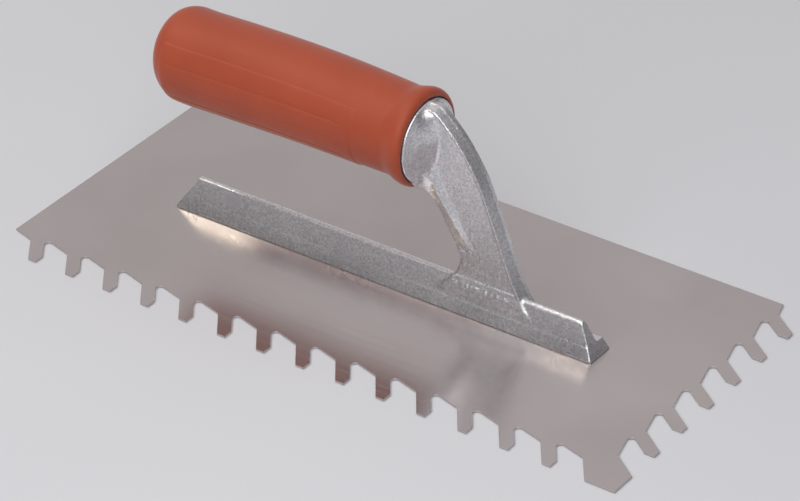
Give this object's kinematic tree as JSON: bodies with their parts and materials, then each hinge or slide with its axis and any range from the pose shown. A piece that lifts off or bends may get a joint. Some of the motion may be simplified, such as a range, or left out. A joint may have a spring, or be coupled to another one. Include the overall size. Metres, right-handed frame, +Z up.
{
  "type": "notched trowel",
  "caption": "Rectangular steel trowel with slanted notches on one long and one short edge, a cast gooseneck mounting and a round rubber grip.",
  "frame": {"origin": "middle of the blade's underside, which is the bottom centre of the whole object's box", "axes": "+X along the blade towards its toothed end, +Y across it towards the plain back edge, +Z up towards the grip"},
  "size_m": [0.28, 0.133, 0.0865],
  "materials": {
    "blade_steel": "fine satin",
    "rivet_steel": "ground flush with the blade",
    "cast_aluminium": "tumbled die casting",
    "core_plastic": "matt, moulded",
    "grip_rubber": "smooth, slightly glossy"
  },
  "bodies": {
    "root": {"blade": "blade_steel", "blade_rivets": "rivet_steel", "mounting": "cast_aluminium", "handle_core": "core_plastic", "grip_sleeve": "grip_rubber"}
  },
  "joints": []
}
